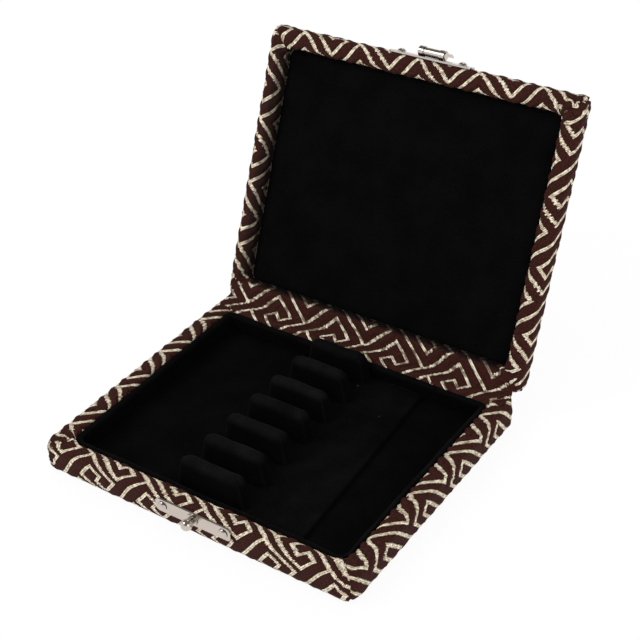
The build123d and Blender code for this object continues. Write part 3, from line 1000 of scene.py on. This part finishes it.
def hinge_strip(name, keys, half_length, weave, relief_share, flip, shaded_length=0.0):
    """A strip of brocade along X that bends round to the open lid, from the key points of its section
    in y and z. Its ends are ragged, and it carries painted shade over the length at its end that dips
    into the lid."""
    path, runs = along_path(keys)
    xs = np.linspace(-half_length, half_length, round(2 * half_length / cloth_spacing) + 1)
    slope = np.gradient(path, axis=0)
    slope /= np.linalg.norm(slope, axis=1)[:, None]
    normal = np.stack([-slope[:, 1], slope[:, 0]], -1)
    u, v = np.meshgrid(xs, runs - runs[len(runs) // 2])
    p, q = weave(u, v)
    ragged = 0.35 * MM * wobble(np.stack([v, 0 * v], -1), 2.2 * MM, 90)
    near_end = smooth((np.abs(u) / half_length - 0.97) / 0.03)
    lift = (cloth_relief(p, q, weave.cells) * relief_share)[..., None]
    section = path[:, None, :] + normal[:, None, :] * lift
    points = np.concatenate([(u + np.sign(u) * ragged * near_end)[..., None], section], -1)
    faces = grid_faces(np.arange(u.size).reshape(u.shape), flip)
    woven = np.stack([p, q], -1).reshape(-1, 2)[np.ravel(faces)]
    amounts = {"thin_and_painted_light": np.ones(u.size), **cell_shares(np.tile(weave.cells, (u.size, 1)))}
    # Painted shade over the end of the strip that dips into the lid
    if shaded_length:
        amounts["sunk_shade"] = np.repeat(smooth((runs - runs[-1] + shaded_length) / (1.6 * MM)), len(xs))
    piece = make_object(name, points.reshape(-1, 3), faces, brocade, woven, **amounts)
    thick = piece.modifiers.new("thickness", "SOLIDIFY")
    thick.thickness = 0.25 * MM
    thick.offset = -1
    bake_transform(piece)
    return piece


def lid_section(y, z):
    """A point of the closed lid's section, as y and z at the open rest."""
    return tuple(swing_open(np.array([[0.0, y, z]]))[0, 1:])


def make_hinge_cloth():
    """The inner strip over both rear rims, and the outer spine that folds up into the crease."""
    inner_y = opening_depth / 2
    rear = case_depth / 2
    lift, bend, shoulder = 0.24 * MM, 1.0 * MM, 0.35 * MM
    top = base_height + lift
    under = lid_rim - lift
    keys = [
        (inner_y - lift, base_height - 2.4 * MM),
        (inner_y - lift, base_height - bend),
        (inner_y + shoulder, top - 0.25 * MM),
        (inner_y + bend, top),
        (rear - 1.2 * MM, top),
        (rear + 0.1 * MM, base_height + 0.36 * MM),
        lid_section(rear - 1.2 * MM, under),
        lid_section(inner_y + bend, under),
        lid_section(inner_y + shoulder, under + 0.25 * MM),
        lid_section(inner_y - lift, lid_rim + bend),
        lid_section(inner_y - lift, lid_rim + 3.4 * MM),
    ]
    weave = Weave((0.5, -1.9), (-2.39, -2.51), (2.78, -2.65))
    strip = hinge_strip("hinge_cloth", keys, 48.3 * MM, weave, 0.8, False, 4.6 * MM)
    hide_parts("hinge_cloth_base_half", "hinge_cloth_lid_half")

    outside = rear + 0.12 * MM
    keys = [
        (outside, 5.0 * MM),
        (outside, 7.4 * MM),
        (rear + 0.16 * MM, base_height + 0.2 * MM),
        lid_section(outside, lid_rim + 1.8 * MM),
        lid_section(outside, lid_rim + 3.4 * MM),
    ]
    weave = Weave((0, 0), (2.4, 2.4), (2.4, -2.4), (0, -7))
    hinge_strip("hinge_spine", keys, 43.5 * MM, weave, 0.5, True)


make_hinge_cloth()


def make_floor():
    """A pale floor that keeps the shadow and lies just under the case."""
    half, height = 4.0, -0.02 * MM
    mesh = bpy.data.meshes.new("floor")
    corners = [(-half, -half, 0), (half, -half, 0), (half, half, 0), (-half, half, 0)]
    mesh.from_pydata(corners, [], [(0, 1, 2, 3)])
    floor = add_object("floor", mesh)
    floor.location.z = height
    material = bpy.data.materials.new("floor")
    mesh.materials.append(material)
    s = Nodes(material)
    ray = s.node("LightPath").outputs
    seen = s.math("MAXIMUM", ray["Is Camera Ray"], ray["Is Glossy Ray"])
    seen = s.math("MAXIMUM", seen, ray["Is Transmission Ray"])
    pale = s.node("BsdfDiffuse", {"Color": (0.9, 0.9, 0.9, 1)}).outputs[0]
    glow = s.node("Emission").outputs[0]
    mixed = s.node("MixShader", {0: s.times(seen, 0.93), 1: pale, 2: glow}).outputs[0]
    s.node("OutputMaterial", {"Surface": mixed})


def make_light():
    """Soft studio light, a white background, and less light from above in the mirroring metal."""
    world = bpy.data.worlds.new("studio")
    bpy.context.scene.world = world
    s = Nodes(world)
    ray = s.node("LightPath").outputs
    height = s.split(s.node("TexCoord").outputs["Generated"])[2]
    daylight = (0.98, 0.98, 1.0, 1)
    white = s.node("Background", {"Color": (1, 1, 1, 1)}).outputs[0]
    soft = s.node("Background", {"Color": daylight}).outputs[0]
    above = {"Color": daylight, "Strength": s.ease(height, 0.3, 0.5, 1.0, 0.16)}
    dim = s.node("Background", above).outputs[0]
    lit = s.node("MixShader", {0: ray["Is Glossy Ray"], 1: soft, 2: dim}).outputs[0]
    seen = s.node("MixShader", {0: ray["Is Camera Ray"], 1: lit, 2: white}).outputs[0]
    s.node("OutputWorld", {"Surface": seen})

    aim = Vector((0, 0.02, 0.03))
    for name, place, size, power in (
        ("key", (-0.6, -0.6, 0.9), 0.5, 4.1),
        ("fill", (0.9, -0.3, 0.5), 0.5, 1.5),
        ("rim", (-0.2, 0.9, 0.8), 0.4, 0.8),
    ):
        lamp = bpy.data.lights.new(name, "AREA")
        lamp.size = size
        lamp.energy = power
        holder = add_object(name, lamp)
        holder.location = place
        holder.rotation_euler = (aim - Vector(place)).to_track_quat("-Z", "Y").to_euler()


def place_camera():
    """The photograph's viewpoint: where the camera stands, how it looks, and its lens."""
    stand = Vector((0.192096, -0.239837, 0.256051))
    azimuth, elevation, roll = (math.radians(a) for a in (36.387, 34.984, -3.550))
    camera = bpy.data.cameras.new("camera")
    camera.sensor_width = 36.0
    camera.lens = 81.93
    camera.clip_start = 0.01
    camera.clip_end = 20.0
    view = Matrix.Translation(stand)
    for angle, axis in ((azimuth, "Z"), (math.pi / 2 - elevation, "X"), (roll, "Z")):
        view @= Matrix.Rotation(angle, 4, axis)
    holder = add_object("camera", camera)
    holder.matrix_world = view
    bpy.context.scene.camera = holder


make_floor()
make_light()
place_camera()
bpy.context.scene.view_settings.view_transform = "Standard"
